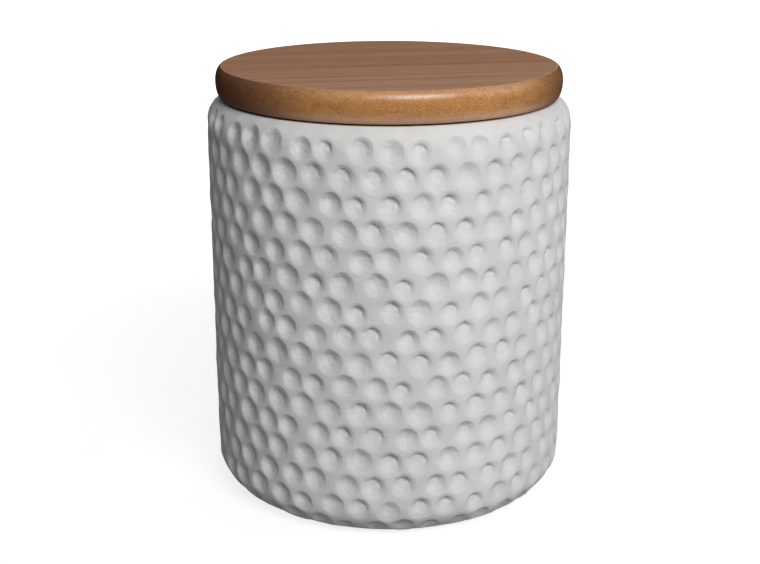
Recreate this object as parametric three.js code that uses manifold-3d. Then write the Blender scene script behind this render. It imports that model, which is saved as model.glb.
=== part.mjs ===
// Canister: a hammered ceramic jar, a turned wooden lid with a plug, and the soft ring round the plug.
// Lengths are in millimetres, +Z is up, and the origin is the centre of the plane that the jar stands on.
import * as THREE from 'three';
import { mergeVertices } from 'three/addons/utils/BufferGeometryUtils.js';
import Module from 'manifold-3d';

// Jar, outside
const jarRadius = 55;
const jarHeight = 122;
const shoulderWidth = 5;
const shoulderHeight = 6.8;
const heelWidth = 11.7;
const heelHeight = 11.3;

// Jar, inside
const wallThickness = 7;
const floorThickness = 6;
const floorRound = 8;
const mouthRound = 0.8;

// Jar, foot: the ring that it stands on, round a shallow recess
const footWidth = 6;
const footRecess = 1.5;
const recessSlope = 1.5;

// Jar, hollows pressed into the wall in staggered rows
const hollowPitch = 8.7;
const hollowDepth = 1.2;
const plainShoulder = 2.7;
const plainHeel = 4.5;
const rowSag = 0.8;
const hollowShare = 0.8;
const sideWanderShare = 0.16;
const riseWanderShare = 0.18;
const depthWanderShare = 0.2;

// Lid: a disc with round edges, and a plug with a groove for the ring
const lidInset = 3;
const lidThickness = 9.3;
const lidTopRoundWidth = 2.1;
const lidTopRoundHeight = 4.1;
const lidUnderRoundWidth = 1.7;
const lidUnderRoundHeight = 4.7;
const plugDepth = 8;
const plugClearance = 1.8;
const plugBevel = 0.8;
const grooveDrop = 1.6;
const grooveHeight = 4.4;
const grooveDepth = 2;

// Ring: a soft band in the groove, with fins that reach for the mouth
const ringWall = 1.5;
const finCount = 2;
const finRoot = 1.1;
const finTip = 0.6;

// Clearances, and how far a cut runs past a face
const lidSeatGap = 0.3;
const ringSeatGap = 0.3;
const finGap = 0.3;
const cutOverrun = 2;

// Faces round a full turn, and along a quarter of a rounding
const roundFaces = 48;
const quarterFaces = 4;

const wasm = await Module();
wasm.setup();

const mouthRadius = jarRadius - wallThickness;
const rimRadius = jarRadius - shoulderWidth;
const footRadius = jarRadius - heelWidth;
const lidRadius = jarRadius - lidInset;
const plugRadius = mouthRadius - plugClearance;
const grooveRadius = plugRadius - grooveDepth;

function solidFrom(geometry) {
  const bare = geometry.clone();
  bare.deleteAttribute('normal');
  bare.deleteAttribute('uv');
  const merged = mergeVertices(bare);
  return new wasm.Manifold(new wasm.Mesh({
    numProp: 3,
    vertProperties: new Float32Array(merged.attributes.position.array),
    triVerts: new Uint32Array(merged.index.array),
  }));
}

function geometryFrom(solid) {
  const mesh = solid.getMesh();
  const geometry = new THREE.BufferGeometry();
  geometry.setAttribute('position', new THREE.BufferAttribute(new Float32Array(mesh.vertProperties), 3));
  geometry.setIndex(new THREE.BufferAttribute(new Uint32Array(mesh.triVerts), 1));
  geometry.computeVertexNormals();
  return geometry;
}

// A turned solid. The profile is [radius, height] pairs, and runs up the outside from axis to axis.
function turned(profile) {
  const points = profile.map(([radius, height]) => new THREE.Vector2(radius, height));
  return new THREE.LatheGeometry(points, roundFaces).rotateX(Math.PI / 2);
}

// A quarter of an ellipse between two angles, in [radius, height] pairs
function quarter(centreRadius, centreHeight, width, height, from, to) {
  const points = [];
  for (let step = 0; step <= quarterFaces; step += 1) {
    const angle = from + (to - from) * step / quarterFaces;
    points.push([centreRadius + width * Math.cos(angle), centreHeight + height * Math.sin(angle)]);
  }
  return points;
}

// Length of a quarter of an ellipse, by Ramanujan's formula
function quarterLength(a, b) {
  return Math.PI * (3 * (a + b) - Math.sqrt((3 * a + b) * (a + 3 * b))) / 4;
}

const shoulderRun = quarterLength(shoulderWidth, shoulderHeight);
const wallRun = jarHeight - shoulderHeight - heelHeight;
const heelRun = quarterLength(heelWidth, heelHeight);
const outsideRun = shoulderRun + wallRun + heelRun;

// The outside of the jar at a run down its surface from the rim's edge: round the shoulder, down the
// wall and round the heel. Gives the radius, the height and the outward direction in that plane.
function outside(run) {
  if (run < shoulderRun) {
    const angle = Math.PI / 2 * run / shoulderRun;
    return {
      radius: rimRadius + shoulderWidth * Math.sin(angle),
      height: jarHeight - shoulderHeight + shoulderHeight * Math.cos(angle),
      out: new THREE.Vector2(Math.sin(angle) / shoulderWidth, Math.cos(angle) / shoulderHeight).normalize(),
    };
  }
  if (run < shoulderRun + wallRun) {
    return {
      radius: jarRadius,
      height: jarHeight - shoulderHeight - (run - shoulderRun),
      out: new THREE.Vector2(1, 0),
    };
  }
  const angle = Math.min(Math.PI / 2, Math.PI / 2 * (run - shoulderRun - wallRun) / heelRun);
  return {
    radius: footRadius + heelWidth * Math.cos(angle),
    height: heelHeight - heelHeight * Math.sin(angle),
    out: new THREE.Vector2(Math.cos(angle) / heelWidth, -Math.sin(angle) / heelHeight).normalize(),
  };
}

const columns = Math.round(2 * Math.PI * jarRadius / hollowPitch);
const columnTurn = 2 * Math.PI / columns;
const rowStep = hollowPitch * Math.sqrt(3) / 2;
const cellReach = 2 * rowStep / 3;
const rows = 1 + Math.floor((outsideRun - plainShoulder - plainHeel - 2 * cellReach) / rowStep);

const wrap = (column) => (column + columns) % columns;
const staggered = (row) => (row + 2) % 2;

// Where the centre of a hollow lies: in staggered rows, with the small errors of a hand at work.
// The rows above the first and below the last hold no hollows and keep an even step.
function hollowPlace(row, column) {
  const turn = (column + staggered(row) / 2) * columnTurn;
  const run = plainShoulder + cellReach + row * rowStep;
  if (row < 0 || row >= rows) return { turn, run };
  const home = wrap(column);
  const aside = 0.6 * Math.sin(2.4 * home + 5.1 * row) + 0.4 * Math.sin(3.77 * home - 1.62 * row);
  const along = 0.6 * Math.sin(1.93 * home - 2.71 * row) + 0.4 * Math.sin(4.31 * home + 3.37 * row);
  return {
    turn: turn + sideWanderShare * columnTurn * aside,
    run: run + riseWanderShare * rowStep * along - rowSag * Math.cos(2 * turn),
  };
}

function hollowSink(row, column) {
  const wander = 0.6 * Math.sin(2.87 * column + 1.37 * row) + 0.4 * Math.sin(5.03 * column - 4.19 * row);
  return hollowDepth * (1 + depthWanderShare * wander);
}

// The corners of a hollow's cell, from its top and round by its left
const sides = ['top', 'upperLeft', 'lowerLeft', 'bottom', 'lowerRight', 'upperRight'];
const nextOf = (side) => sides[(sides.indexOf(side) + 1) % sides.length];

// A corner of a cell: midway between its hollow's centre and the centres of two hollows beside it
function cellCorner(row, column, side) {
  const left = column - 1 + staggered(row);
  const beside = {
    top: hollowPlace(row - 1, left + 1),
    upperLeft: hollowPlace(row - 1, left),
    lowerLeft: hollowPlace(row, column - 1),
    bottom: hollowPlace(row + 1, left),
    lowerRight: hollowPlace(row + 1, left + 1),
    upperRight: hollowPlace(row, column + 1),
  };
  const three = [hollowPlace(row, column), beside[side], beside[nextOf(side)]];
  const mean = (key) => three.reduce((sum, place) => sum + place[key], 0) / three.length;
  return { turn: mean('turn'), run: mean('run') };
}

// The outside of the jar. Each hollow is a pit with a rim of six points inside its cell, and plain
// lands join the rims. Rings of even steps close the lands to the mouth and to the foot.
function jarOutside() {
  const vertices = [];
  const faces = [];
  const put = (turn, radius, height) => {
    vertices.push(radius * Math.cos(turn), radius * Math.sin(turn), height);
    return vertices.length / 3 - 1;
  };
  const lay = (place) => {
    const at = outside(place.run);
    return put(place.turn, at.radius, at.height);
  };
  const patch = (...loop) => {
    for (let step = 2; step < loop.length; step += 1) faces.push(loop[0], loop[step - 1], loop[step]);
  };

  // The points round each hollow, and the corners that stand for them in the plain rows
  const rims = [];
  for (let row = -1; row <= rows; row += 1) {
    const line = Array.from({ length: columns }, () => ({}));
    line.forEach((rim, column) => {
      const right = line[wrap(column + 1)];
      if (row < 0) {
        rim.bottom = lay(cellCorner(row, column, 'bottom'));
        rim.lowerRight = lay(cellCorner(row, column, 'lowerRight'));
        right.lowerLeft = rim.lowerRight;
      } else if (row === rows) {
        rim.top = lay(cellCorner(row, column, 'top'));
        rim.upperRight = lay(cellCorner(row, column, 'upperRight'));
        right.upperLeft = rim.upperRight;
      } else {
        const centre = hollowPlace(row, column);
        sides.forEach((side) => {
          const corner = cellCorner(row, column, side);
          rim[side] = lay({
            turn: centre.turn + hollowShare * (corner.turn - centre.turn),
            run: centre.run + hollowShare * (corner.run - centre.run),
          });
        });
      }
    });
    rims.push(line);
  }

  for (let row = -1; row < rows; row += 1) {
    for (let column = 0; column < columns; column += 1) {
      const rim = rims[row + 1][column];
      const right = rims[row + 1][wrap(column + 1)];
      const below = column - 1 + staggered(row);
      const belowLeft = rims[row + 2][wrap(below)];
      const belowRight = rims[row + 2][wrap(below + 1)];
      patch(rim.lowerLeft, belowLeft.top, belowLeft.upperRight, rim.bottom);
      patch(rim.bottom, belowRight.upperLeft, belowRight.top, rim.lowerRight);
      if (row < rows - 1) patch(rim.bottom, belowLeft.upperRight, belowRight.upperLeft);
      if (row >= 0) {
        patch(rim.upperRight, rim.lowerRight, right.lowerLeft, right.upperLeft);
        patch(rim.lowerRight, belowRight.top, right.lowerLeft);
        const centre = hollowPlace(row, column);
        const at = outside(centre.run);
        const sink = hollowSink(row, column);
        const pit = put(centre.turn, at.radius - sink * at.out.x, at.height - sink * at.out.y);
        sides.forEach((side) => patch(pit, rim[side], rim[nextOf(side)]));
      }
    }
  }

  // Two points to a column, so that a ring meets the corners of a plain row one to one
  const ring = (row, radius, height) => {
    const made = [];
    for (let step = 0; step < 2 * columns; step += 1) {
      made.push(put((staggered(row) + step) * columnTurn / 2, radius, height));
    }
    return made;
  };
  const strip = (upper, lower) => {
    upper.forEach((from, step) => {
      const next = (step + 1) % upper.length;
      patch(from, lower[step], lower[next], upper[next]);
    });
  };
  const topCorners = rims[0].flatMap((rim) => [rim.bottom, rim.lowerRight]);
  const bend = outside(plainShoulder / 2);
  const bendRing = ring(-1, bend.radius, bend.height);
  const rimEdge = ring(-1, rimRadius, jarHeight);
  const top = put(0, 0, jarHeight);
  strip(bendRing, topCorners);
  strip(rimEdge, bendRing);
  rimEdge.forEach((from, step) => patch(top, from, rimEdge[(step + 1) % rimEdge.length]));

  const heelCorners = rims[rows + 1].flatMap((rim) => [rim.top, rim.upperRight]);
  const footEdge = ring(rows, footRadius, 0);
  const recessEdge = ring(rows, footRadius - footWidth, 0);
  const recessFloor = ring(rows, footRadius - footWidth - recessSlope, footRecess);
  const underside = put(0, 0, footRecess);
  const lastRun = plainShoulder + 2 * cellReach + (rows - 1) * rowStep;
  const heelBend = outside((lastRun + outsideRun) / 2);
  const heelRing = ring(rows, heelBend.radius, heelBend.height);
  strip(heelCorners, heelRing);
  strip(heelRing, footEdge);
  strip(footEdge, recessEdge);
  strip(recessEdge, recessFloor);
  recessFloor.forEach((from, step) => patch(underside, recessFloor[(step + 1) % recessFloor.length], from));

  const geometry = new THREE.BufferGeometry();
  geometry.setAttribute('position', new THREE.Float32BufferAttribute(vertices, 3));
  geometry.setIndex(faces);
  return geometry;
}

function jar() {
  const floor = footRecess + floorThickness;
  const hollow = turned([
    [0, floor],
    ...quarter(mouthRadius - floorRound, floor + floorRound, floorRound, floorRound, -Math.PI / 2, 0),
    ...quarter(mouthRadius + mouthRound, jarHeight - mouthRound,
      mouthRound, mouthRound, Math.PI, Math.PI / 2),
    [mouthRadius + mouthRound, jarHeight + cutOverrun],
    [0, jarHeight + cutOverrun],
  ]);
  return geometryFrom(solidFrom(jarOutside()).subtract(solidFrom(hollow)));
}

function lid() {
  const grooveTop = -grooveDrop;
  const grooveFloor = grooveTop - grooveHeight;
  return turned([
    [0, -plugDepth],
    [plugRadius - plugBevel, -plugDepth],
    [plugRadius, plugBevel - plugDepth],
    [plugRadius, grooveFloor],
    [grooveRadius, grooveFloor],
    [grooveRadius, grooveTop],
    [plugRadius, grooveTop],
    [plugRadius, 0],
    ...quarter(lidRadius - lidUnderRoundWidth, lidUnderRoundHeight,
      lidUnderRoundWidth, lidUnderRoundHeight, -Math.PI / 2, 0),
    ...quarter(lidRadius - lidTopRoundWidth, lidThickness - lidTopRoundHeight,
      lidTopRoundWidth, lidTopRoundHeight, 0, Math.PI / 2),
    [0, lidThickness],
  ]);
}

function sealRing() {
  const inner = grooveRadius + ringSeatGap;
  const height = grooveHeight - 2 * ringSeatGap;
  const finRadius = mouthRadius - finGap;
  const profile = [[inner, 0], [inner + ringWall, 0]];
  for (let fin = 0; fin < finCount; fin += 1) {
    const middle = height * (fin + 1 / 2) / finCount;
    profile.push([inner + ringWall, middle - finRoot / 2], [finRadius, middle - finTip / 2]);
    profile.push([finRadius, middle + finTip / 2], [inner + ringWall, middle + finRoot / 2]);
  }
  profile.push([inner + ringWall, height], [inner, height], [inner, 0]);
  return turned(profile);
}

const ceramic = new THREE.MeshStandardMaterial({ color: 0xe6e6e5, roughness: 0.8, metalness: 0 });
const wood = new THREE.MeshStandardMaterial({ color: 0xa97c55, roughness: 0.45, metalness: 0 });
const silicone = new THREE.MeshStandardMaterial({ color: 0xd8d6d0, roughness: 0.55, metalness: 0 });

function part(name, geometry, material, height) {
  const mesh = new THREE.Mesh(geometry, material);
  mesh.name = name;
  mesh.position.z = height;
  return mesh;
}

const canister = new THREE.Group();
const lidHeight = jarHeight + lidSeatGap;
canister.add(part('jar', jar(), ceramic, 0));
canister.add(part('lid', lid(), wood, lidHeight));
canister.add(part('seal_ring', sealRing(), silicone, lidHeight - grooveDrop - grooveHeight + ringSeatGap));

export default canister;
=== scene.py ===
import math

import bmesh
import bpy
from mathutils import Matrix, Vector, geometry


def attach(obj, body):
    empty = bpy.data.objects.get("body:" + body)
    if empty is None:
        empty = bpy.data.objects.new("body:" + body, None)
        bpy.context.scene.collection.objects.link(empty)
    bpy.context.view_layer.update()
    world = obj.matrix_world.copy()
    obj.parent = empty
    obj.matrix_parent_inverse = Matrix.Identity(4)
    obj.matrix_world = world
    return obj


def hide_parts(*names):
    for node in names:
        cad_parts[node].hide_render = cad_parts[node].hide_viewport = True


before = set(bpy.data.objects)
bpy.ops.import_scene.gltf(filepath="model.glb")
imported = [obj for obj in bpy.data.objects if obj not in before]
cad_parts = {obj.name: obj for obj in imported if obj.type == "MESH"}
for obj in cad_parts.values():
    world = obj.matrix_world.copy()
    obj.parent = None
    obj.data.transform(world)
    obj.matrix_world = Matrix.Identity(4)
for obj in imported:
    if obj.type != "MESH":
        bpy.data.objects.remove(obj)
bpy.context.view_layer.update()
scene = bpy.context.scene
scene.view_settings.view_transform = "Standard"


# The camera stands 40 cm in front of the canister, level with the air above its lid, and looks down
# on it a little. Its lens takes in the whole canister with a margin of air.
CAMERA_PLACE = (-0.0027, -0.3983, 0.1903)
CAMERA_DIP = 17.79
CAMERA_LENS = 62.7
FILM_WIDTH = 36

camera = bpy.data.objects.new("camera", bpy.data.cameras.new("camera"))
camera.data.sensor_width = FILM_WIDTH
camera.data.lens = CAMERA_LENS
camera.location = CAMERA_PLACE
camera.rotation_euler = (math.radians(90 - CAMERA_DIP), 0, 0)
scene.collection.objects.link(camera)
scene.camera = camera


# The canister stands on a wide sheet of white paper. The paper keeps the shadow that falls on it, and
# a glow that only a straight look or a reflection finds lifts its lit part to white.
PAPER_REACH = 6.0
PAPER_COLOUR = (0.32, 0.32, 0.32, 1)
PAPER_DROP = 0.0001
NEAR_REACH, FAR_REACH = 0.1, 0.6
NEAR_GLOW, FAR_GLOW = 0.82, 1.0


def node(tree, kind, inputs=(), **settings):
    """Adds a node with its settings, and gives each of its inputs a value or the socket that feeds it."""
    made = tree.nodes.new(kind)
    for name, value in settings.items():
        setattr(made, name, value)
    for key, value in dict(inputs).items():
        if isinstance(value, bpy.types.NodeSocket):
            tree.links.new(value, made.inputs[key])
        else:
            made.inputs[key].default_value = value
    return made


def sum_of(tree, operation, *values):
    """The result of a math node. Each value is a number or a socket."""
    return node(tree, "ShaderNodeMath", enumerate(values), operation=operation).outputs[0]


def vector_of(tree, operation, *values):
    """The result of a vector math node: a number for a length or a dot product, and else a vector."""
    made = node(tree, "ShaderNodeVectorMath", enumerate(values), operation=operation)
    return made.outputs["Value" if operation in ("LENGTH", "DOT_PRODUCT") else "Vector"]


def ramp(tree, value, low, high, start=0.0, end=1.0, smooth=True):
    """A value carried from one range to another, smoothly or straight, and held at its ends."""
    inputs = {"Value": value, "From Min": low, "From Max": high, "To Min": start, "To Max": end}
    kind = "SMOOTHSTEP" if smooth else "LINEAR"
    return node(tree, "ShaderNodeMapRange", inputs, interpolation_type=kind).outputs[0]


def empty_material(name):
    """A material whose node tree is still empty, and that tree."""
    material = bpy.data.materials.new(name)
    material.use_nodes = True
    material.node_tree.nodes.clear()
    return material, material.node_tree


def seen_directly(tree):
    """1 where a ray comes from the camera, from a reflection or through glass, and 0 for other rays."""
    path = node(tree, "ShaderNodeLightPath").outputs
    mirrored = sum_of(tree, "MAXIMUM", path["Is Glossy Ray"], path["Is Transmission Ray"])
    return sum_of(tree, "MAXIMUM", path["Is Camera Ray"], mirrored)


bpy.ops.mesh.primitive_plane_add(size=2 * PAPER_REACH, location=(0, 0, -PAPER_DROP))
paper = bpy.context.object
paper.name = "paper"
white_paper, tree = empty_material("white_paper")
away = vector_of(tree, "LENGTH", node(tree, "ShaderNodeTexCoord").outputs["Object"])
spread = ramp(tree, away, NEAR_REACH, FAR_REACH, NEAR_GLOW, FAR_GLOW, smooth=False)
glow = sum_of(tree, "MULTIPLY", seen_directly(tree), spread)
matt = node(tree, "ShaderNodeBsdfDiffuse", {"Color": PAPER_COLOUR})
lift = node(tree, "ShaderNodeEmission", {"Strength": glow})
both = node(tree, "ShaderNodeAddShader", {0: matt.outputs[0], 1: lift.outputs[0]})
node(tree, "ShaderNodeOutputMaterial", {"Surface": both.outputs[0]})
paper.data.materials.append(white_paper)


# The room is a white tent: plain white to look at, and a weak light from all round. The main soft box
# stands to the right above the camera, a weaker one lights the right side and another the back.
TENT_LIGHT = 0.041
BOX_AIM = Vector((0, 0, 0.065))

tent = bpy.data.worlds.new("tent")
tent.use_nodes = True
tent.node_tree.nodes.clear()
tree = tent.node_tree
strength = ramp(tree, seen_directly(tree), 0, 1, TENT_LIGHT, 1, smooth=False)
glow = node(tree, "ShaderNodeBackground", {"Color": (1, 1, 1, 1), "Strength": strength})
node(tree, "ShaderNodeOutputWorld", {"Surface": glow.outputs[0]})
scene.world = tent


def soft_box(name, turn, rise, distance, width, height, power):
    """A soft box that looks at the canister from a turn to the right of the front, and from above."""
    box = bpy.data.objects.new(name, bpy.data.lights.new(name, "AREA"))
    box.data.shape = "RECTANGLE"
    box.data.size = width
    box.data.size_y = height
    box.data.energy = power
    turn, rise = math.radians(turn), math.radians(rise)
    away = Vector((math.sin(turn) * math.cos(rise), -math.cos(turn) * math.cos(rise), math.sin(rise)))
    box.location = BOX_AIM + distance * away
    box.rotation_euler = away.to_track_quat("Z", "Y").to_euler()
    scene.collection.objects.link(box)


soft_box("main_box", turn=19, rise=38, distance=1.1, width=0.6, height=0.4, power=8.5)
soft_box("side_box", turn=80, rise=20, distance=1.0, width=0.8, height=0.6, power=1.6)
soft_box("back_box", turn=178, rise=14, distance=1.1, width=0.9, height=0.4, power=5.5)


# The jar is one casting of white stoneware under a dry, matt glaze. Its hollows were pressed into the
# soft wall in staggered rows, by hand, with a round-ended stick that came in from below. It stands on
# a bare foot ring, and the lid rests on its smooth rounded rim.
JAR_RADIUS = 0.055
JAR_HEIGHT = 0.122
JAR_WALL = 0.007
JAR_FLOOR = 0.006
SHOULDER_WIDTH = 0.005
SHOULDER_HEIGHT = 0.0068
SHOULDER_STEPS = 16
HEEL_WIDTH = 0.0117
HEEL_HEIGHT = 0.0113
HEEL_STEPS = 24
MOUTH_ROUND = 0.0008
MOUTH_STEPS = 5
INNER_WALL_SHARES = (0.85, 0.7, 0.55, 0.4, 0.25)
FLOOR_ROUND = 0.008
FLOOR_STEPS = 8
FLOOR_SHARE = 0.4
FOOT_WIDTH = 0.006
FOOT_RECESS = 0.0015
FOOT_ROUND = 0.0005
RECESS_SLOPE = 0.0015


def arc(centre, width, height, start, end, steps):
    """Points on an ellipse between two angles in degrees, as (radius, height) pairs."""
    angles = [math.radians(start + (end - start) * step / steps) for step in range(steps + 1)]
    return [(centre[0] + width * math.cos(angle), centre[1] + height * math.sin(angle)) for angle in angles]


def softened(corners, steps=3):
    """A section through corners, each a radius, a height and how much of its sides its rounding takes."""
    points = []
    befores = corners[-1:] + corners[:-1]
    afters = corners[1:] + corners[:1]
    for before, corner, after in zip(befores, corners, afters):
        place = Vector(corner[:2])
        if corner[2] == 0:
            points.append(tuple(place))
            continue
        start = place + corner[2] * (Vector(before[:2]) - place).normalized()
        end = place + corner[2] * (Vector(after[:2]) - place).normalized()
        for step in range(steps + 1):
            share = step / steps
            points.append(tuple(start.lerp(place, share).lerp(place.lerp(end, share), share)))
    return points


# The section runs from the middle of the underside out to the foot, up the outside, over the rim and
# down the inside to the middle of the floor. Its runs are its lengths from the start to each point.
foot_radius = JAR_RADIUS - HEEL_WIDTH
mouth_radius = JAR_RADIUS - JAR_WALL
foot_inside = foot_radius - FOOT_WIDTH
recess_radius = foot_inside - RECESS_SLOPE
inner_floor = FOOT_RECESS + JAR_FLOOR
section = softened([
    (0, FOOT_RECESS, 0),
    (recess_radius / 2, FOOT_RECESS, 0),
    (recess_radius, FOOT_RECESS, FOOT_ROUND),
    (foot_inside, 0, FOOT_ROUND),
    (foot_radius - FOOT_WIDTH / 4, 0, 0),
])
foot_edge = len(section)
section += arc((foot_radius, HEEL_HEIGHT), HEEL_WIDTH, HEEL_HEIGHT, -90, 0, HEEL_STEPS)
section += arc((JAR_RADIUS - SHOULDER_WIDTH, JAR_HEIGHT - SHOULDER_HEIGHT),
               SHOULDER_WIDTH, SHOULDER_HEIGHT, 0, 90, SHOULDER_STEPS)
rim_edge = len(section) - 1
section += arc((mouth_radius + MOUTH_ROUND, JAR_HEIGHT - MOUTH_ROUND),
               MOUTH_ROUND, MOUTH_ROUND, 90, 180, MOUTH_STEPS)
section += [(mouth_radius, JAR_HEIGHT * share) for share in INNER_WALL_SHARES]
section += arc((mouth_radius - FLOOR_ROUND, inner_floor + FLOOR_ROUND),
               FLOOR_ROUND, FLOOR_ROUND, 0, -90, FLOOR_STEPS)
section += [(mouth_radius * FLOOR_SHARE, inner_floor), (0, inner_floor)]
runs = [0]
for start, end in zip(section, section[1:]):
    runs.append(runs[-1] + math.dist(start, end))
rim_run = runs[rim_edge]
outside_run = rim_run - runs[foot_edge]

# Each hollow has a six-sided cell. The wanders are shares of the pattern's steps, or of a hollow's size
# or depth. The drifts are what it gains on the jar's deep side and loses on the side across from it
HOLLOW_PITCH = 0.0087
HOLLOW_WIDTH = 0.0076
HOLLOW_HEIGHT = 0.0081
HOLLOW_DEPTH = 0.0015
PLAIN_SHOULDER = 0.0027
PLAIN_HEEL = 0.0045
EDGE_MARGIN = 0.0015
ROW_SAG = 0.0008
RISE_WANDER, SIDE_WANDER = 0.11, 0.1
SIZE_WANDER, DEPTH_WANDER = 0.16, 0.2
DEEP_SIDE = math.radians(-145)
SIZE_DRIFT, DEPTH_DRIFT = 0.08, 0.19
CELL_FILL = 0.99
SIDE_STEPS = 3

# A wander is two waves added up. These are what each turns by, in radians: the first one from column to
# column and from row to row, and then the second one
RISE_WAVES = (1.93, -2.71, 4.31, 3.37)
SIDE_WAVES = (2.4, 5.1, 3.77, -1.62)
SIZE_WAVES = (3.21, 0.83, 1.57, 2.93)
DEPTH_WAVES = (2.87, 1.37, 5.03, -4.19)
TIP_WAVES = (4.77, 1.91, 2.23, -3.49)
FORCE_WAVES = (2.07, -4.61, 5.43, 1.17)
FIRST_WAVE_SHARE = 0.6

columns = round(2 * math.pi * JAR_RADIUS / HOLLOW_PITCH)
column_turn = 2 * math.pi / columns
row_step = HOLLOW_PITCH * math.sqrt(3) / 2
cell_reach = 2 * row_step / 3
rows = 1 + math.floor((outside_run - PLAIN_SHOULDER - PLAIN_HEEL - 2 * cell_reach) / row_step)
points_around = 2 * SIDE_STEPS * columns


def wander(row, column, waves):
    """A number between -1 and 1 that looks like chance from one hollow to the next."""
    first = math.sin(waves[0] * column + waves[1] * row)
    second = math.sin(waves[2] * column + waves[3] * row)
    return FIRST_WAVE_SHARE * first + (1 - FIRST_WAVE_SHARE) * second


def hollow_place(row, column):
    """The turn of a hollow's middle, and its run down from the rim. The rows next to the first and the
    last hold no hollows and keep an even step."""
    turn = (column + row % 2 / 2) * column_turn
    run = PLAIN_SHOULDER + cell_reach + row * row_step
    if 0 <= row < rows:
        home = column % columns
        run += RISE_WANDER * row_step * wander(row, home, RISE_WAVES) - ROW_SAG * math.cos(2 * turn)
        turn += SIDE_WANDER * column_turn * wander(row, home, SIDE_WAVES)
    return turn, run


def on_sheet(turn, run):
    """A place on the outside when it is unrolled into a flat sheet."""
    return JAR_RADIUS * turn, rim_run - run, 0


def cell_corner(row, column, place):
    """The bottom or the lower right corner of a hollow's cell, midway between three hollows: the name
    that the cells round it know it by, its turn and its run."""
    right = column + row % 2
    beside = (row + 1, right - 1) if place == "bottom" else (row, column + 1)
    middles = [hollow_place(row, column), hollow_place(row + 1, right), hollow_place(*beside)]
    turn, run = (sum(values) / 3 for values in zip(*middles))
    return (place, row, column % columns), turn, run


def cell_corners(row, column):
    """The six corners of a hollow's cell, from its top and round by its left."""
    left = column - 1 + row % 2
    return [
        cell_corner(row - 1, left, "lower right"),
        cell_corner(row - 1, left, "bottom"),
        cell_corner(row, column - 1, "lower right"),
        cell_corner(row, column, "bottom"),
        cell_corner(row, column, "lower right"),
        cell_corner(row - 1, left + 1, "bottom"),
    ]


def cell_room(row, column):
    """How far a hollow's middle lies from the nearest side of its cell."""
    middle = Vector(on_sheet(*hollow_place(row, column)))
    corners = [Vector(on_sheet(turn, run)) for name, turn, run in cell_corners(row, column)]
    feet = [geometry.intersect_point_line(middle, start, end)[0]
            for start, end in zip(corners, corners[1:] + corners[:1])]
    return min((foot - middle).length for foot in feet)


sheet = bmesh.new()
shared_points = {}


def cell_side(start, end):
    """The sheet's points from one corner up to the next, which is left out."""
    points = []
    for step in range(SIDE_STEPS):
        name = frozenset([(start[0], step), (end[0], SIDE_STEPS - step)]) if step else start[0]
        if name not in shared_points:
            share = step / SIDE_STEPS
            turn = start[1] + share * (end[1] - start[1])
            run = start[2] + share * (end[2] - start[2])
            shared_points[name] = sheet.verts.new(on_sheet(turn, run))
        points.append(shared_points[name])
    return points


def row_edge(row):
    """The zigzag line of points along the lower side of a row of cells."""
    corners = [cell_corner(row, column, place)
               for column in range(columns) for place in ("bottom", "lower right")]
    name, turn, run = corners[0]
    ends = corners[1:] + [(name, turn + 2 * math.pi, run)]
    return [point for start, end in zip(corners, ends) for point in cell_side(start, end)]


def level_ring(run, radius, row):
    """A ring of points at one height, in line with a row's edge, or one point on the axis."""
    if radius == 0:
        return [sheet.verts.new((0, run, 0))]
    first = row % 2 / 2 * column_turn
    turns = [first + 2 * math.pi * step / points_around for step in range(points_around)]
    return [sheet.verts.new((JAR_RADIUS * turn, run, 0)) for turn in turns]


def join_lines(mesh, lines):
    """Faces from each ring to the next. A ring may be one point on the axis."""
    for lower, upper in zip(lines, lines[1:]):
        count = max(len(lower), len(upper))
        for step in range(count):
            after = (step + 1) % count
            loop = [lower[step % len(lower)], lower[after % len(lower)],
                    upper[after % len(upper)], upper[step % len(upper)]]
            mesh.faces.new(list(dict.fromkeys(loop)))


# The force is even round most of the jar. It falls off close to the deep side and, by the loss, across
# from it. The stick's lean to the side fades fast away from the deep side and comes back across from it
USUAL_FORCE = 0.42
FORCE_WANDER = 0.45
FORCE_LOSS = 0.3
DEEP_EDGE, DEEP_FADE = 0.95, 0.3
LEAN_FADE = 4

hollow = sheet.faces.layers.bool.new("hollow")
middle = sheet.faces.layers.float_vector.new("middle")
size_share = sheet.faces.layers.float.new("size_share")
depth_share = sheet.faces.layers.float.new("depth_share")
chance = sheet.faces.layers.float.new("chance")
force = sheet.faces.layers.float.new("force")
side_lean = sheet.faces.layers.float.new("side_lean")
lip_turn = sheet.faces.layers.float.new("lip_turn")
for row in range(rows):
    for column in range(columns):
        corners = cell_corners(row, column)
        sides = zip(corners, corners[1:] + corners[:1])
        cell = sheet.faces.new([point for start, end in sides for point in cell_side(start, end)])
        cell[hollow] = True
        cell[middle] = on_sheet(*hollow_place(row, column))

        # 1 in the middle of the deep side, and -1 across from it
        drift = math.cos(hollow_place(row, column)[0] - DEEP_SIDE)
        across = max(0, -drift)
        size = 1 + SIZE_DRIFT * drift + SIZE_WANDER * wander(row, column, SIZE_WAVES)
        cell[size_share] = min(size, 2 * CELL_FILL * cell_room(row, column) / HOLLOW_HEIGHT)
        cell[depth_share] = 1 + DEPTH_DRIFT * drift + DEPTH_WANDER * wander(row, column, DEPTH_WAVES)
        cell[chance] = 0.5 + 0.5 * wander(row, column, TIP_WAVES)
        usual = USUAL_FORCE * min(1, (DEEP_EDGE - drift) / DEEP_FADE) - FORCE_LOSS * across
        cell[force] = usual + FORCE_WANDER * wander(row, column, FORCE_WAVES)
        cell[side_lean] = drift ** LEAN_FADE + across
        cell[lip_turn] = drift

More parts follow.
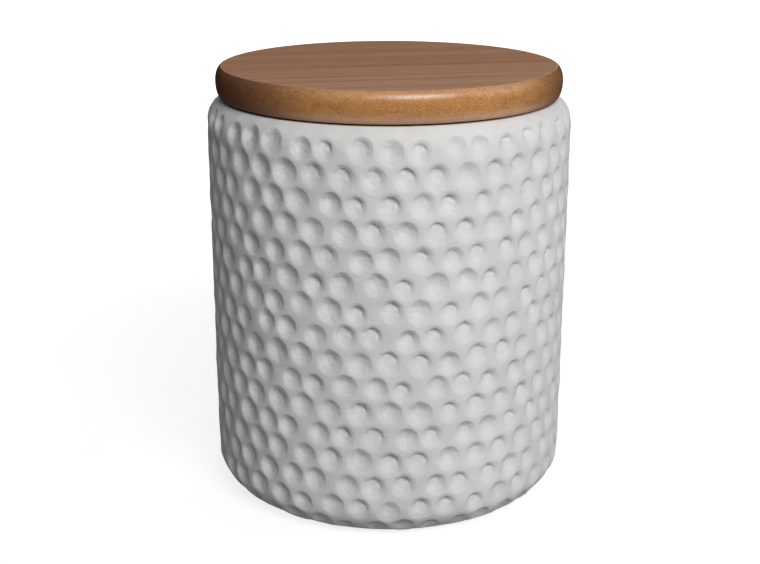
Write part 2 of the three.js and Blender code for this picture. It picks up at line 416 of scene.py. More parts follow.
last_run = PLAIN_SHOULDER + 2 * cell_reach + (rows - 1) * row_step
lowest, highest = rim_run - last_run - EDGE_MARGIN, rim_run - PLAIN_SHOULDER + EDGE_MARGIN
plain = [(run, radius) for run, (radius, height) in zip(runs, section)]
below = [level_ring(run, radius, rows - 1) for run, radius in plain if run < lowest]
above = [level_ring(run, radius, -1) for run, radius in plain if run > highest]
join_lines(sheet, below + [row_edge(rows - 1)])
join_lines(sheet, [row_edge(-1)] + above)

jar_sheet = bpy.data.meshes.new("jar_sheet")
sheet.to_mesh(jar_sheet)
sheet.free()
jar = bpy.data.objects.new("stoneware_jar", jar_sheet)
scene.collection.objects.link(jar)

section_line = bpy.data.curves.new("jar_section", "CURVE")
section_line.dimensions = "3D"
spline = section_line.splines.new("POLY")
spline.points.add(len(section) - 1)
for point, (radius, height) in zip(spline.points, section):
    point.co = (radius, 0, height, 1)
jar_section = bpy.data.objects.new("jar_section", section_line)
scene.collection.objects.link(jar_section)


def scaled(tree, vector, scale):
    """A vector times a number."""
    return node(tree, "ShaderNodeVectorMath", {0: vector, "Scale": scale}, operation="SCALE").outputs[0]


def rotated(tree, vector, angle, axis="Z"):
    """A vector turned about one of the axes."""
    inputs = {"Vector": vector, "Angle": angle}
    return node(tree, "ShaderNodeVectorRotate", inputs, rotation_type=axis + "_AXIS").outputs[0]


def between(tree, share, first, second):
    """A number on the way from a first one to a second."""
    return node(tree, "ShaderNodeMix", {0: share, 2: first, 3: second}).outputs[0]


def noise(tree, vector, scale, detail=2.0, roughness=0.5):
    """Soft chance, about a half on average."""
    inputs = {"Vector": vector, "Scale": scale, "Detail": detail, "Roughness": roughness}
    return node(tree, "ShaderNodeTexNoise", inputs).outputs["Fac"]


def named(tree, name, data_type="FLOAT"):
    """What a mesh attribute holds."""
    return node(tree, "GeometryNodeInputNamedAttribute", {"Name": name}, data_type=data_type).outputs[0]


def kept(tree, geometry, name, value, data_type, domain="POINT", selection=True):
    """The geometry with a value kept on it under a name."""
    inputs = {"Geometry": geometry, "Selection": selection, "Name": name}
    store = node(tree, "GeometryNodeStoreNamedAttribute", inputs, data_type=data_type, domain=domain)
    tree.links.new(value, store.inputs["Value"])
    return store.outputs[0]


def by_turn(tree, step, values):
    """The value that belongs to a turn of a loop."""
    made = node(tree, "GeometryNodeIndexSwitch", {"Index": step}, data_type="FLOAT")
    while len(made.index_switch_items) < len(values):
        made.index_switch_items.new()
    for socket, value in zip(made.inputs[1:], values):
        socket.default_value = value
    return made.outputs[0]


# A hollow's rings from its lip to its middle. A ring lies at its bowl share of the hollow's reach, plus
# its tip share of the tip's size, and the bitten ones go down with the tip
TIP_EDGE = 0.1
BOWL_RINGS = (1.08, 0.98, 0.9, 0.79, TIP_EDGE, 0, 0, 0)
TIP_RINGS = (0, 0, 0, 0, 1, 1, 0.8, 0)
BITTEN_RINGS = (0, 0, 0, 0, 0, 1, 1, 0)
SMALL_TIP, LARGE_TIP = 0.42, 0.66
TIP_BITE = 0.9
LIP_STEP = 0.06
LIP_SIDE = (1.0, 0.8, 0)
STICK_LEAN = (-0.2, 0.13, 0)

# Where each of these starts and where it is full: by the cosine of the angle from the lip's crisp side,
# by the force on the stick, and by the share of the hollow's reach
BITTEN_SIDE = (-0.1, 0.8)
CRISP_SIDE = (0.1, 0.9)
BITING_FORCE = (0.2, 0.6)
LIP_EDGE = (1.03, 0.9)
BITTEN_CRISPNESS = 0.3
SOFT_CURVE, BITTEN_CURVE = 1.4, 2.3
SOFT_SWELL, CRISP_SWELL = 1.3, 1.2


def ring_depth(tree, given, step, ring, heading):
    """How deep a ring lies at a heading from the hollow's middle, as a share of the hollow's depth."""
    # The crisp side turns with the jar's side: it is the upper right one on the jar's deep side, the top
    # one a quarter turn from there, and the upper left one across from there
    swing = node(tree, "ShaderNodeCombineXYZ", {"X": named(tree, "lip_turn"), "Y": 1.0}).outputs[0]
    lip_side = vector_of(tree, "NORMALIZE", vector_of(tree, "MULTIPLY", given["Lip Side"], swing))
    facing = vector_of(tree, "DOT_PRODUCT", heading, lip_side)

    # Pressed hard enough, the stick's tip bit in on that side and left a level floor. The lip above such
    # a bite is less crisp
    force = ramp(tree, named(tree, "force"), *BITING_FORCE, smooth=False)
    bite = sum_of(tree, "MULTIPLY", ramp(tree, facing, *BITTEN_SIDE), force)
    crisp = sum_of(tree, "MULTIPLY_ADD", bite, BITTEN_CRISPNESS - 1, 1.0)
    crisp = sum_of(tree, "MULTIPLY", ramp(tree, facing, *CRISP_SIDE), crisp)

    # The soft sides slope from the lip to the tip, and curve more above a bite. The crisp side has a
    # small step at the lip
    out = sum_of(tree, "DIVIDE", ring, BOWL_RINGS[0])
    curve = sum_of(tree, "MULTIPLY_ADD", bite, BITTEN_CURVE - SOFT_CURVE, SOFT_CURVE)
    soft = sum_of(tree, "SUBTRACT", 1, sum_of(tree, "POWER", out, SOFT_SWELL))
    soft = sum_of(tree, "POWER", soft, curve)
    steep = sum_of(tree, "SUBTRACT", 1, sum_of(tree, "POWER", ring, CRISP_SWELL))
    steep = between(tree, given["Lip Step"], sum_of(tree, "MAXIMUM", steep, 0), ramp(tree, ring, *LIP_EDGE))
    bowl = between(tree, crisp, soft, steep)

    bite = sum_of(tree, "MULTIPLY", bite, by_turn(tree, step, BITTEN_RINGS))
    bite = sum_of(tree, "MULTIPLY", bite, given["Tip Bite"])
    return between(tree, bite, bowl, 1.0)


UNEVENNESS = 0.0004
UNEVEN_SCALE = 110.0
UNEVEN_RANGE = (0.3, 0.7)
UNEVEN_FADE = 0.002


def rolled_up(tree, given, flat):
    """The sheet rolled up. Its height is looked up along the section, and its width becomes a turn."""
    place = node(tree, "GeometryNodeInputPosition").outputs[0]
    place = node(tree, "ShaderNodeSeparateXYZ", {0: place}).outputs
    line = node(tree, "GeometryNodeObjectInfo", {"Object": given["Section"]}).outputs["Geometry"]
    sample = node(tree, "GeometryNodeSampleCurve", {"Curves": line}, mode="LENGTH")
    tree.links.new(place["Y"], sample.inputs["Length"])
    out = vector_of(tree, "CROSS_PRODUCT", (0, 1, 0), sample.outputs["Tangent"])
    turn = sum_of(tree, "DIVIDE", place["X"], given["Jar Radius"])

    # The pressed wall is a little uneven, as the hand left it, and the smooth foot and rim are not
    around = rotated(tree, sample.outputs["Position"], turn)
    uneven = ramp(tree, noise(tree, around, UNEVEN_SCALE, 1.0), *UNEVEN_RANGE, smooth=False)
    from_foot = ramp(tree, place["Y"], lowest, lowest + UNEVEN_FADE, smooth=False)
    from_rim = ramp(tree, place["Y"], highest, highest - UNEVEN_FADE, smooth=False)
    wall = sum_of(tree, "MULTIPLY", from_foot, from_rim)
    uneven = sum_of(tree, "MULTIPLY", sum_of(tree, "MULTIPLY", uneven, wall), given["Unevenness"])

    sink = sum_of(tree, "SUBTRACT", place["Z"], uneven)
    sunk = vector_of(tree, "ADD", sample.outputs["Position"], scaled(tree, out, sink))
    inputs = {"Geometry": flat, "Position": rotated(tree, sunk, turn)}
    return node(tree, "GeometryNodeSetPosition", inputs).outputs[0]


CELL_TAKEN = 0.9
CELL_EASE = 0.0006
PRESSED_STEP = 0.25
MERGE_REACH = 0.000001


def press_hollows():
    """Geometry nodes that press a hollow into each cell of the unrolled sheet, ring inside ring, and
    then roll the sheet up round the jar's section."""
    tree = bpy.data.node_groups.new("press_hollows", "GeometryNodeTree")
    kinds = {"Sheet": "Geometry", "Section": "Object", "Jar Radius": "Float", "Hollow Width": "Float",
             "Hollow Height": "Float", "Hollow Depth": "Float", "Tip Bite": "Float",
             "Lip Step": "Float", "Lip Side": "Vector", "Lean": "Vector", "Unevenness": "Float",
             "Material": "Material"}
    for name, kind in kinds.items():
        tree.interface.new_socket(name, in_out="INPUT", socket_type="NodeSocket" + kind)
    tree.interface.new_socket("Jar", in_out="OUTPUT", socket_type="NodeSocketGeometry")
    given = node(tree, "NodeGroupInput").outputs

    # Each turn of the loop cuts a smaller face out of every hollow, and moves its edge in and down
    loop_end = node(tree, "GeometryNodeRepeatOutput")
    loop = node(tree, "GeometryNodeRepeatInput")
    loop.pair_with_output(loop_end)
    loop.inputs["Iterations"].default_value = len(BOWL_RINGS)
    tree.links.new(given["Sheet"], loop.inputs["Geometry"])
    step = loop.outputs["Iteration"]
    cut = node(tree, "GeometryNodeExtrudeMesh",
               {"Mesh": loop.outputs["Geometry"], "Selection": named(tree, "hollow", "BOOLEAN"),
                "Offset Scale": 0.0, "Individual": True}, mode="FACES").outputs
    mesh = kept(tree, cut["Mesh"], "hollow", cut["Top"], "BOOLEAN", "FACE")
    inside = named(tree, "hollow", "BOOLEAN")

    # The spoke from a hollow's middle to a point on its cell's side, taken in the first turn and kept
    place = node(tree, "GeometryNodeInputPosition").outputs[0]
    middle = named(tree, "middle", "FLOAT_VECTOR")
    offset = node(tree, "ShaderNodeSeparateXYZ", {0: vector_of(tree, "SUBTRACT", place, middle)}).outputs
    half_round = sum_of(tree, "MULTIPLY", given["Jar Radius"], math.pi)
    aside = sum_of(tree, "WRAP", offset["X"], half_round, sum_of(tree, "MULTIPLY", half_round, -1))
    fresh = node(tree, "ShaderNodeCombineXYZ", {"X": aside, "Y": offset["Y"]}).outputs[0]
    spoke = node(tree, "GeometryNodeSwitch",
                 {"Switch": sum_of(tree, "LESS_THAN", step, 0.5), "True": fresh,
                  "False": named(tree, "spoke", "FLOAT_VECTOR")}, input_type="VECTOR").outputs[0]
    mesh = kept(tree, mesh, "spoke", spoke, "FLOAT_VECTOR", selection=inside)
    spoke = named(tree, "spoke", "FLOAT_VECTOR")
    heading = vector_of(tree, "NORMALIZE", spoke)

    # How far out the ring lies, as a share of the hollow's reach along the spoke. The rings of the tip's
    # edge and floor lie closer in or farther out from one hollow to the next
    size = node(tree, "ShaderNodeCombineXYZ",
                {"X": given["Hollow Width"], "Y": given["Hollow Height"], "Z": 1.0}).outputs[0]
    oval = sum_of(tree, "DIVIDE", 0.5, vector_of(tree, "LENGTH", vector_of(tree, "DIVIDE", heading, size)))
    oval = sum_of(tree, "MULTIPLY", oval, named(tree, "size_share"))
    room = sum_of(tree, "MULTIPLY", vector_of(tree, "LENGTH", spoke), CELL_TAKEN)
    reach = sum_of(tree, "SMOOTH_MIN", oval, room, CELL_EASE)
    tip = ramp(tree, named(tree, "chance"), 0, 1, SMALL_TIP, LARGE_TIP, smooth=False)
    ring = sum_of(tree, "MULTIPLY_ADD", by_turn(tree, step, TIP_RINGS), tip, by_turn(tree, step, BOWL_RINGS))

    # The stick leans, so the deepest place lies above the hollow's middle. On the jar's deep side, and
    # across from it, it also lies to the left
    inward = sum_of(tree, "MAXIMUM", sum_of(tree, "SUBTRACT", 1, ring), 0)
    slant = node(tree, "ShaderNodeCombineXYZ", {"X": named(tree, "side_lean"), "Y": 1.0}).outputs[0]
    lean = vector_of(tree, "MULTIPLY", vector_of(tree, "MULTIPLY", given["Lean"], slant),
                     scaled(tree, size, named(tree, "size_share")))
    local = vector_of(tree, "ADD", scaled(tree, heading, sum_of(tree, "MULTIPLY", ring, reach)),
                      scaled(tree, lean, inward))
    depth = sum_of(tree, "MULTIPLY", given["Hollow Depth"], named(tree, "depth_share"))
    sink = sum_of(tree, "MULTIPLY", ring_depth(tree, given, step, ring, heading), depth)
    sunk = node(tree, "ShaderNodeCombineXYZ", {"Z": sum_of(tree, "MULTIPLY", sink, -1)}).outputs[0]
    sunk = vector_of(tree, "ADD", vector_of(tree, "ADD", middle, local), sunk)
    inputs = {"Geometry": mesh, "Selection": inside, "Position": sunk}
    mesh = node(tree, "GeometryNodeSetPosition", inputs).outputs[0]

    # The glaze needs to know how far inside a hollow it is: 0 at the lip, and 1 from the tip's edge on
    pressed = sum_of(tree, "MINIMUM", sum_of(tree, "MULTIPLY", step, PRESSED_STEP), 1.0)
    mesh = kept(tree, mesh, "pressed", pressed, "FLOAT", selection=inside)
    tree.links.new(mesh, loop_end.inputs["Geometry"])

    body = rolled_up(tree, given, loop_end.outputs["Geometry"])
    body = node(tree, "GeometryNodeMergeByDistance", {"Geometry": body, "Distance": MERGE_REACH})
    body = node(tree, "GeometryNodeSetShadeSmooth", {"Geometry": body.outputs[0]})
    body = node(tree, "GeometryNodeRealizeInstances", {"Geometry": body.outputs[0]})
    body = node(tree, "GeometryNodeSetMaterial", {"Geometry": body.outputs[0], "Material": given["Material"]})
    node(tree, "NodeGroupOutput", {"Jar": body.outputs[0]})
    return tree


def stretched_noise(tree, place, stretch, detail=2.0, roughness=0.5):
    """Soft chance that is drawn out where its stretch, in repeats to the metre, is small."""
    return noise(tree, vector_of(tree, "MULTIPLY", place, stretch), 1, detail, roughness)


def spots(tree, place, scale, edge, draw_range):
    """1 in small round spots in a few of a pattern's cells, and 0 elsewhere. A draw picks the cells."""
    cells = node(tree, "ShaderNodeTexVoronoi", {"Vector": place, "Scale": scale}).outputs
    draw = node(tree, "ShaderNodeSeparateColor", {0: cells["Color"]}).outputs["Red"]
    return sum_of(tree, "MULTIPLY", ramp(tree, cells["Distance"], *edge), ramp(tree, draw, *draw_range))


def blend_of(tree, share, first, second):
    """A mix of two colours."""
    made = node(tree, "ShaderNodeMix", {0: share}, data_type="RGBA")
    for socket, colour in zip((made.inputs[6], made.inputs[7]), (first, second)):
        if isinstance(colour, bpy.types.NodeSocket):
            tree.links.new(colour, socket)
        else:
            socket.default_value = (*colour, 1)
    return made.outputs[2]


GLAZE_WHITE = (0.8, 0.8, 0.797)
GLAZE_SHADE = (0.76, 0.76, 0.755)
GLAZE_SPECK = (0.25, 0.22, 0.19)
BARE_CLAY = (0.66, 0.63, 0.58)
GLAZE_ROUGHNESS, GLAZE_SHINE = 0.85, 0.12
GRAIN_SCALE, GRAIN_HEIGHT = 1100, 0.1
WIPE_SLOPE = 16
WIPE_STRETCH, WIPE_HEIGHT = (70, 70, 2000), 0.22
WIPE_LEFT_IN_HOLLOWS = 0.4
PATCH_SCALE, PATCH_RANGE = 45, (0.45, 0.65)
LUMP_SCALE, LUMP_HEIGHT = 650, 0.28
CLOUD_SCALE, CLOUD_RANGE = 60, (0.35, 0.7)
SPECK_SCALE, SPECK_EDGE = 210.0, (0.045, 0.02)
SPECK_DRAW, SPECK_STRENGTH = (0.88, 0.9), 0.7
BARE_HEIGHTS = (0.0004, 0.0001)
MILLIMETRE = 0.001


def matt_glaze():
    """Dry white glaze: a fine grain, patches of faint wiping lines, the stick's lumps in the hollows and
    rare specks. The foot's ring is bare clay."""
    material, tree = empty_material("matt_glaze")
    place = node(tree, "ShaderNodeTexCoord").outputs["Object"]
    pressed = node(tree, "ShaderNodeAttribute", attribute_name="pressed").outputs["Fac"]

    # Heights of the surface's detail, in millimetres
    grain = sum_of(tree, "MULTIPLY", noise(tree, place, GRAIN_SCALE, 3.0, 0.6), GRAIN_HEIGHT)
    slant = rotated(tree, place, math.radians(WIPE_SLOPE), "Y")
    lines = stretched_noise(tree, slant, WIPE_STRETCH, 3.0, 0.7)
    patches = ramp(tree, noise(tree, place, PATCH_SCALE), *PATCH_RANGE)
    lines = sum_of(tree, "MULTIPLY", sum_of(tree, "MULTIPLY", lines, patches), WIPE_HEIGHT)
    left = sum_of(tree, "MULTIPLY_ADD", pressed, WIPE_LEFT_IN_HOLLOWS - 1, 1.0)
    lines = sum_of(tree, "MULTIPLY", lines, left)
    lumps = sum_of(tree, "SUBTRACT", noise(tree, place, LUMP_SCALE), 0.5)
    lumps = sum_of(tree, "MULTIPLY", sum_of(tree, "MULTIPLY", lumps, pressed), LUMP_HEIGHT)
    height = sum_of(tree, "ADD", sum_of(tree, "ADD", grain, lines), lumps)
    bump = node(tree, "ShaderNodeBump", {"Distance": MILLIMETRE, "Height": height}).outputs[0]

    # Clouds in the white, specks, and the clay at the foot
    clouds = ramp(tree, noise(tree, place, CLOUD_SCALE, 3.0), *CLOUD_RANGE)
    colour = blend_of(tree, clouds, GLAZE_WHITE, GLAZE_SHADE)
    speck = spots(tree, place, SPECK_SCALE, SPECK_EDGE, SPECK_DRAW)
    colour = blend_of(tree, sum_of(tree, "MULTIPLY", speck, SPECK_STRENGTH), colour, GLAZE_SPECK)
    level = node(tree, "ShaderNodeSeparateXYZ", {0: place}).outputs["Z"]
    colour = blend_of(tree, ramp(tree, level, *BARE_HEIGHTS), colour, BARE_CLAY)
    shader = node(tree, "ShaderNodeBsdfPrincipled",
                  {"Base Color": colour, "Roughness": GLAZE_ROUGHNESS,
                   "Specular IOR Level": GLAZE_SHINE, "Normal": bump})
    node(tree, "ShaderNodeOutputMaterial", {"Surface": shader.outputs[0]})
    return material


def worked(piece, tree, values):
    """Gives the piece the mesh that a node tree makes of it. The tree's inputs are set by name."""
    modifier = piece.modifiers.new(tree.name, "NODES")
    modifier.node_group = tree
    for socket in tree.interface.items_tree:
        if socket.in_out == "INPUT" and socket.name in values:
            modifier[socket.identifier] = values[socket.name]
    bpy.context.view_layer.update()
    evaluated = piece.evaluated_get(bpy.context.evaluated_depsgraph_get())
    mesh = bpy.data.meshes.new_from_object(evaluated)
    piece.modifiers.remove(modifier)
    piece.data = mesh


worked(jar, press_hollows(), {
    "Section": jar_section,
    "Jar Radius": JAR_RADIUS,
    "Hollow Width": HOLLOW_WIDTH,
    "Hollow Height": HOLLOW_HEIGHT,
    "Hollow Depth": HOLLOW_DEPTH,
    "Tip Bite": TIP_BITE,
    "Lip Step": LIP_STEP,
    "Lip Side": LIP_SIDE,
    "Lean": STICK_LEAN,
    "Unevenness": UNEVENNESS,
    "Material": matt_glaze(),
})
bpy.data.objects.remove(jar_section)
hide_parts("jar")
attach(jar, "jar")


# The lid is turned from one board of oiled hardwood. Its fibres run a little askew from left to right,
# so its front shows long grain and its ends show end grain. The plug under it has a groove for the ring.
LID_RADIUS = 0.052
LID_GAP = 0.0003
LID_THICKNESS = 0.0093
LID_STEPS = 192
TOP_ROUND_WIDTH, TOP_ROUND_HEIGHT = 0.0021, 0.0041
TOP_ROUND_END = 78
TOP_EDGE = 0.0003
TOP_SHARES = (0.8, 0.4)
UNDER_ROUND_WIDTH, UNDER_ROUND_HEIGHT = 0.0017, 0.0044
UNDER_EASE = 0.0003
LID_ROUND_STEPS = 10
PLUG_DEPTH = 0.008
PLUG_CLEARANCE = 0.0018
PLUG_BEVEL = 0.0008
GROOVE_DROP = 0.0016
GROOVE_HEIGHT = 0.0044
GROOVE_DEPTH = 0.002
GROOVE_ROUND = 0.0003


def turned(name, profile, steps):
    """A body of revolution. Its profile runs up the outside from axis to axis, or closes on itself."""
    mesh = bmesh.new()
    rings = []
    for radius, height in profile:
        angles = [2 * math.pi * step / steps for step in range(steps if radius else 1)]
        rings.append([mesh.verts.new((radius * math.cos(angle), radius * math.sin(angle), height))
                      for angle in angles])
    if profile[0][0]:
        rings.append(rings[0])
    join_lines(mesh, rings)
    data = bpy.data.meshes.new(name)
    mesh.to_mesh(data)
    mesh.free()
    data.shade_smooth()
    piece = bpy.data.objects.new(name, data)
    scene.collection.objects.link(piece)
    return piece


GRAIN_TURN = 11
WOOD_DARK = (0.2, 0.07, 0.03)
WOOD_MIDDLE = (0.41, 0.156, 0.04)
WOOD_LIGHT = (0.52, 0.228, 0.06)
# The top's greyish colour is partly its own duller tone and partly a painted sheen
WOOD_TOP_SHEEN = (0.48, 0.315, 0.26)
# The pale colour is painted light: the lid's front is lit paler than its back
WOOD_PAINTED_LIGHT = (0.62, 0.36, 0.17)
# The pinkish pale underside colour is a painted reflection of the white rim below
WOOD_RIM_REFLECTION = (0.64, 0.4, 0.27)
WOOD_FLECK = (0.77, 0.42, 0.16)
# The near black colour darkens pores and end grain, and is also painted shade at the lid's ends
WOOD_PORE_AND_SHADE = (0.07, 0.03, 0.04)

# The wood's patterns, in repeats to the metre along the fibres, across them and up, and where each one
# starts to show and shows in full
BAND_STRETCH, BAND_RANGE = (3, 70, 50), (0.35, 0.65)
STREAK_STRETCH, STREAK_RANGE = (5, 480, 420), (0.55, 0.3)
LINE_STRETCH, LINE_RANGE = (4, 300, 250), (0.03, 0.0)
FIBRE_STRETCH, FIBRE_RANGE = (120, 1500, 1800), (0.4, 0.7)
SHEEN_STRETCH, SHEEN_RANGE = (4, 190, 150), (0.35, 0.65)
FLECK_STRETCH, FLECK_RANGE = (800, 2400, 2400), (0.55, 0.15)
PORE_STRETCH, PORE_EDGE, PORE_DRAW = (150, 260, 260), (0.13, 0.06), (0.9, 0.92)
FRONT_REACH = (0.0, -0.045)

# How strongly they show: on the turned edge and on the flat top, and for the top's painted sheen streaks at
# least and at most
# Painted light towards the front, on the edge and on the top
PAINTED_LIGHT_SHARES = (0.3, 0.8)
STREAK_SHARES = (0.4, 0.75)
FLECK_SHARES = (0.51, 0.06)
SHEEN_SHARES = (0.36, 0.6)
LINE_SHARE = 0.5
FIBRE_SHARE = 0.45
# Share of the painted reflection of the rim on the underside
RIM_REFLECTION_SHARE = 0.45
# Share of the end grain's darkening, partly oiled wood and partly painted shade
END_GRAIN_AND_SHADE_SHARE = 0.7
PORE_SHARE = 0.8
FIBRE_HEIGHT = 0.015

# Which faces these are: by how far up a face looks, and for end grain and oil by how far it looks along
# the fibres
TOP_FACING = (0.9, 0.99)
UNDER_FACING = (-0.05, -0.4)
RUBBED_FROM, RUBBED_UP_TO = (0.1, 0.4), (0.98, 0.85)
END_GRAIN = (0.5, 0.96)
OIL_KEPT = (0.8, 0.4)
UNDER_COAT = 0.7
WOOD_ROUGHNESS = 0.55
COAT_ROUGHNESS, COAT_IOR = 0.37, 1.65


def oiled_wood():
    """Hardwood under a thin coat of oil: bands of growth, long fibres and open pores, with painted light
    towards the front, a painted sheen on the top and a painted reflection of the rim below. The oil sinks in
    where the fibres end, so end grain is dark, and that darkening is also painted shade at the lid's ends."""
    material, tree = empty_material("oiled_wood")
    coords = node(tree, "ShaderNodeTexCoord").outputs
    board = rotated(tree, coords["Object"], math.radians(-GRAIN_TURN))
    outward = rotated(tree, coords["Normal"], math.radians(-GRAIN_TURN))
    facing = node(tree, "ShaderNodeSeparateXYZ", {0: outward}).outputs["Z"]
    top = ramp(tree, facing, *TOP_FACING)

    # Bands of growth, with painted light that makes them paler towards the front, dark streaks and, on the
    # top, thin dark lines
    bands = ramp(tree, stretched_noise(tree, board, BAND_STRETCH, 3.0), *BAND_RANGE)
    colour = blend_of(tree, bands, WOOD_MIDDLE, WOOD_LIGHT)
    front = ramp(tree, node(tree, "ShaderNodeSeparateXYZ", {0: board}).outputs["Y"], *FRONT_REACH)
    painted_light = sum_of(tree, "MULTIPLY", front, between(tree, top, *PAINTED_LIGHT_SHARES))
    colour = blend_of(tree, painted_light, colour, WOOD_PAINTED_LIGHT)
    streaks = ramp(tree, stretched_noise(tree, board, STREAK_STRETCH, 3.0, 0.6), *STREAK_RANGE)
    streaks = sum_of(tree, "MULTIPLY", streaks, between(tree, top, *STREAK_SHARES))
    colour = blend_of(tree, streaks, colour, WOOD_DARK)
    lines = sum_of(tree, "SUBTRACT", stretched_noise(tree, board, LINE_STRETCH), 0.5)
    lines = ramp(tree, sum_of(tree, "ABSOLUTE", lines), *LINE_RANGE, 0.0, LINE_SHARE)
    colour = blend_of(tree, sum_of(tree, "MULTIPLY", lines, top), colour, WOOD_DARK)
    fibres = stretched_noise(tree, board, FIBRE_STRETCH)
    colour = blend_of(tree, ramp(tree, fibres, *FIBRE_RANGE, 0.0, FIBRE_SHARE), colour, WOOD_LIGHT)

    # The flat top is duller and redder than the turned edge, and its pale greyish streaks are partly its own
    # tone and partly a painted sheen. On the edge the cut fibres show as light flecks
    top_sheen = ramp(tree, stretched_noise(tree, board, SHEEN_STRETCH), *SHEEN_RANGE, *SHEEN_SHARES)
    colour = blend_of(tree, sum_of(tree, "MULTIPLY", top_sheen, top), colour, WOOD_TOP_SHEEN)
    cells = node(tree, "ShaderNodeTexVoronoi",
                 {"Vector": vector_of(tree, "MULTIPLY", board, FLECK_STRETCH), "Scale": 1.0}).outputs
    flecks = ramp(tree, cells["Distance"], *FLECK_RANGE)
    flecks = sum_of(tree, "MULTIPLY", flecks, between(tree, top, *FLECK_SHARES))
    colour = blend_of(tree, flecks, colour, WOOD_FLECK)

    # The underside gets a paler, pinkish tone that is a painted reflection of the white rim below, and the
    # ends of the fibres are dark with oil and with painted shade at the lid's ends
    colour = blend_of(tree, ramp(tree, facing, *UNDER_FACING, 0.0, RIM_REFLECTION_SHARE), colour, WOOD_RIM_REFLECTION)
    along = vector_of(tree, "NORMALIZE", vector_of(tree, "MULTIPLY", outward, (1, 1, 0)))
    along = sum_of(tree, "ABSOLUTE", node(tree, "ShaderNodeSeparateXYZ", {0: along}).outputs["X"])
    along = sum_of(tree, "MULTIPLY", along, sum_of(tree, "SUBTRACT", 1, top))
    # End grain darkening: partly oiled wood, partly painted shade at the lid's ends
    colour = blend_of(tree, ramp(tree, along, *END_GRAIN, 0.0, END_GRAIN_AND_SHADE_SHARE), colour, WOOD_PORE_AND_SHADE)
    pore = spots(tree, vector_of(tree, "MULTIPLY", board, PORE_STRETCH), 1.0, PORE_EDGE, PORE_DRAW)
    colour = blend_of(tree, sum_of(tree, "MULTIPLY", pore, PORE_SHARE), colour, WOOD_PORE_AND_SHADE)

    # Hands have rubbed the upper rounding smooth, the lower one less, and the ends of the fibres not
    upper = sum_of(tree, "MULTIPLY", ramp(tree, facing, *RUBBED_FROM), ramp(tree, facing, *RUBBED_UP_TO))
    lower = ramp(tree, facing, *UNDER_FACING, 0.0, UNDER_COAT)
    coat = sum_of(tree, "MULTIPLY", sum_of(tree, "ADD", upper, lower), ramp(tree, along, *OIL_KEPT))
    height = sum_of(tree, "MULTIPLY", fibres, FIBRE_HEIGHT)
    bump = node(tree, "ShaderNodeBump", {"Distance": MILLIMETRE, "Height": height}).outputs[0]
    shader = node(tree, "ShaderNodeBsdfPrincipled",
                  {"Base Color": colour, "Roughness": WOOD_ROUGHNESS, "Specular IOR Level": 0.0,
                   "Normal": bump, "Coat Weight": coat, "Coat Roughness": COAT_ROUGHNESS,
                   "Coat IOR": COAT_IOR})
    node(tree, "ShaderNodeOutputMaterial", {"Surface": shader.outputs[0]})
    return material


lid_base = JAR_HEIGHT + LID_GAP
lid_top = lid_base + LID_THICKNESS
plug_radius = mouth_radius - PLUG_CLEARANCE
groove_radius = plug_radius - GROOVE_DEPTH
groove_top = lid_base - GROOVE_DROP
groove_floor = groove_top - GROOVE_HEIGHT
lid_profile = softened([
    (0, lid_base - PLUG_DEPTH, 0),
    (plug_radius / 2, lid_base - PLUG_DEPTH, 0),
    (plug_radius, lid_base - PLUG_DEPTH, PLUG_BEVEL),
    (plug_radius, groove_floor, GROOVE_ROUND),
    (groove_radius, groove_floor, GROOVE_ROUND),
    (groove_radius, groove_top, GROOVE_ROUND),
    (plug_radius, groove_top, GROOVE_ROUND),
    (plug_radius, lid_base, GROOVE_ROUND),
    (LID_RADIUS - 2 * UNDER_ROUND_WIDTH, lid_base, 0),
])
lid_profile += arc((LID_RADIUS - UNDER_ROUND_WIDTH, lid_base + UNDER_EASE + UNDER_ROUND_HEIGHT),
                   UNDER_ROUND_WIDTH, UNDER_ROUND_HEIGHT, -90, 0, LID_ROUND_STEPS)
lid_profile += arc((LID_RADIUS - TOP_ROUND_WIDTH, lid_top - TOP_ROUND_HEIGHT),
                   TOP_ROUND_WIDTH, TOP_ROUND_HEIGHT, 0, TOP_ROUND_END, LID_ROUND_STEPS)
top_edge_radius = lid_profile[-1][0] - TOP_EDGE
lid_profile += [(top_edge_radius, lid_top), (top_edge_radius - TOP_EDGE, lid_top)]
lid_profile += [(top_edge_radius * share, lid_top) for share in TOP_SHARES]
lid_profile += [(0, lid_top)]
lid = turned("turned_lid", lid_profile, LID_STEPS)
lid.data.materials.append(oiled_wood())
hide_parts("lid")
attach(lid, "lid")


# The ring is moulded in soft, milky silicone. It is stretched over the plug into its groove, and its two thin
# fins reach to just short of the jar's mouth.
RING_WALL = 0.0015
RING_GAP = 0.0003
RING_ROUND = 0.0002
RING_STEPS = 160
FIN_COUNT = 2
FIN_ROOT = 0.0011
FIN_TIP = 0.0006
FIN_GAP = 0.0003

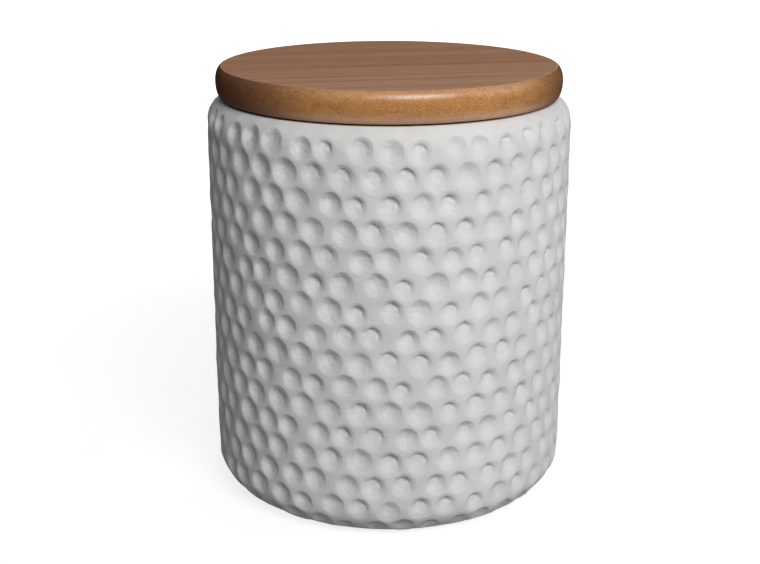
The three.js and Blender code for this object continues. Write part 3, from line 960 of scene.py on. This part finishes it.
SILICONE_MILK = (0.74, 0.73, 0.69)
SILICONE_HAZE = (0.68, 0.66, 0.61)
SILICONE_ROUGHNESS, SILICONE_SHINE = 0.42, 0.4
GLOW_THROUGH, GLOW_REACH = 0.3, (0.002, 0.0018, 0.0015)
HAZE_SCALE, HAZE_RANGE = 120, (0.35, 0.65)
DRAG_STRETCH, DRAG_HEIGHT = (90, 90, 2600), 0.00002


def milky_silicone():
    """Soft silicone, milky and a little hazy, with the fine drag lines of its mould."""
    material, tree = empty_material("milky_silicone")
    place = node(tree, "ShaderNodeTexCoord").outputs["Object"]
    haze = ramp(tree, noise(tree, place, HAZE_SCALE, 3.0), *HAZE_RANGE)
    colour = blend_of(tree, haze, SILICONE_MILK, SILICONE_HAZE)
    lines = stretched_noise(tree, place, DRAG_STRETCH)
    bump = node(tree, "ShaderNodeBump", {"Distance": DRAG_HEIGHT, "Height": lines}).outputs[0]
    shader = node(tree, "ShaderNodeBsdfPrincipled",
                  {"Base Color": colour, "Roughness": SILICONE_ROUGHNESS,
                   "Specular IOR Level": SILICONE_SHINE, "Normal": bump,
                   "Subsurface Weight": GLOW_THROUGH, "Subsurface Radius": GLOW_REACH})
    node(tree, "ShaderNodeOutputMaterial", {"Surface": shader.outputs[0]})
    return material


ring_inside = groove_radius + RING_GAP
ring_low, ring_high = groove_floor + RING_GAP, groove_top - RING_GAP
fin_radius = mouth_radius - FIN_GAP
ring_corners = [(ring_inside, ring_low, RING_ROUND), (ring_inside + RING_WALL, ring_low, RING_ROUND)]
for fin in range(FIN_COUNT):
    middle_height = ring_low + (ring_high - ring_low) * (fin + 0.5) / FIN_COUNT
    ring_corners += [
        (ring_inside + RING_WALL, middle_height - FIN_ROOT / 2, RING_ROUND),
        (fin_radius, middle_height - FIN_TIP / 2, RING_ROUND),
        (fin_radius, middle_height + FIN_TIP / 2, RING_ROUND),
        (ring_inside + RING_WALL, middle_height + FIN_ROOT / 2, RING_ROUND),
    ]
ring_corners += [(ring_inside + RING_WALL, ring_high, RING_ROUND), (ring_inside, ring_high, RING_ROUND)]
seal_ring = turned("silicone_ring", softened(ring_corners), RING_STEPS)
seal_ring.data.materials.append(milky_silicone())
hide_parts("seal_ring")
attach(seal_ring, "lid")
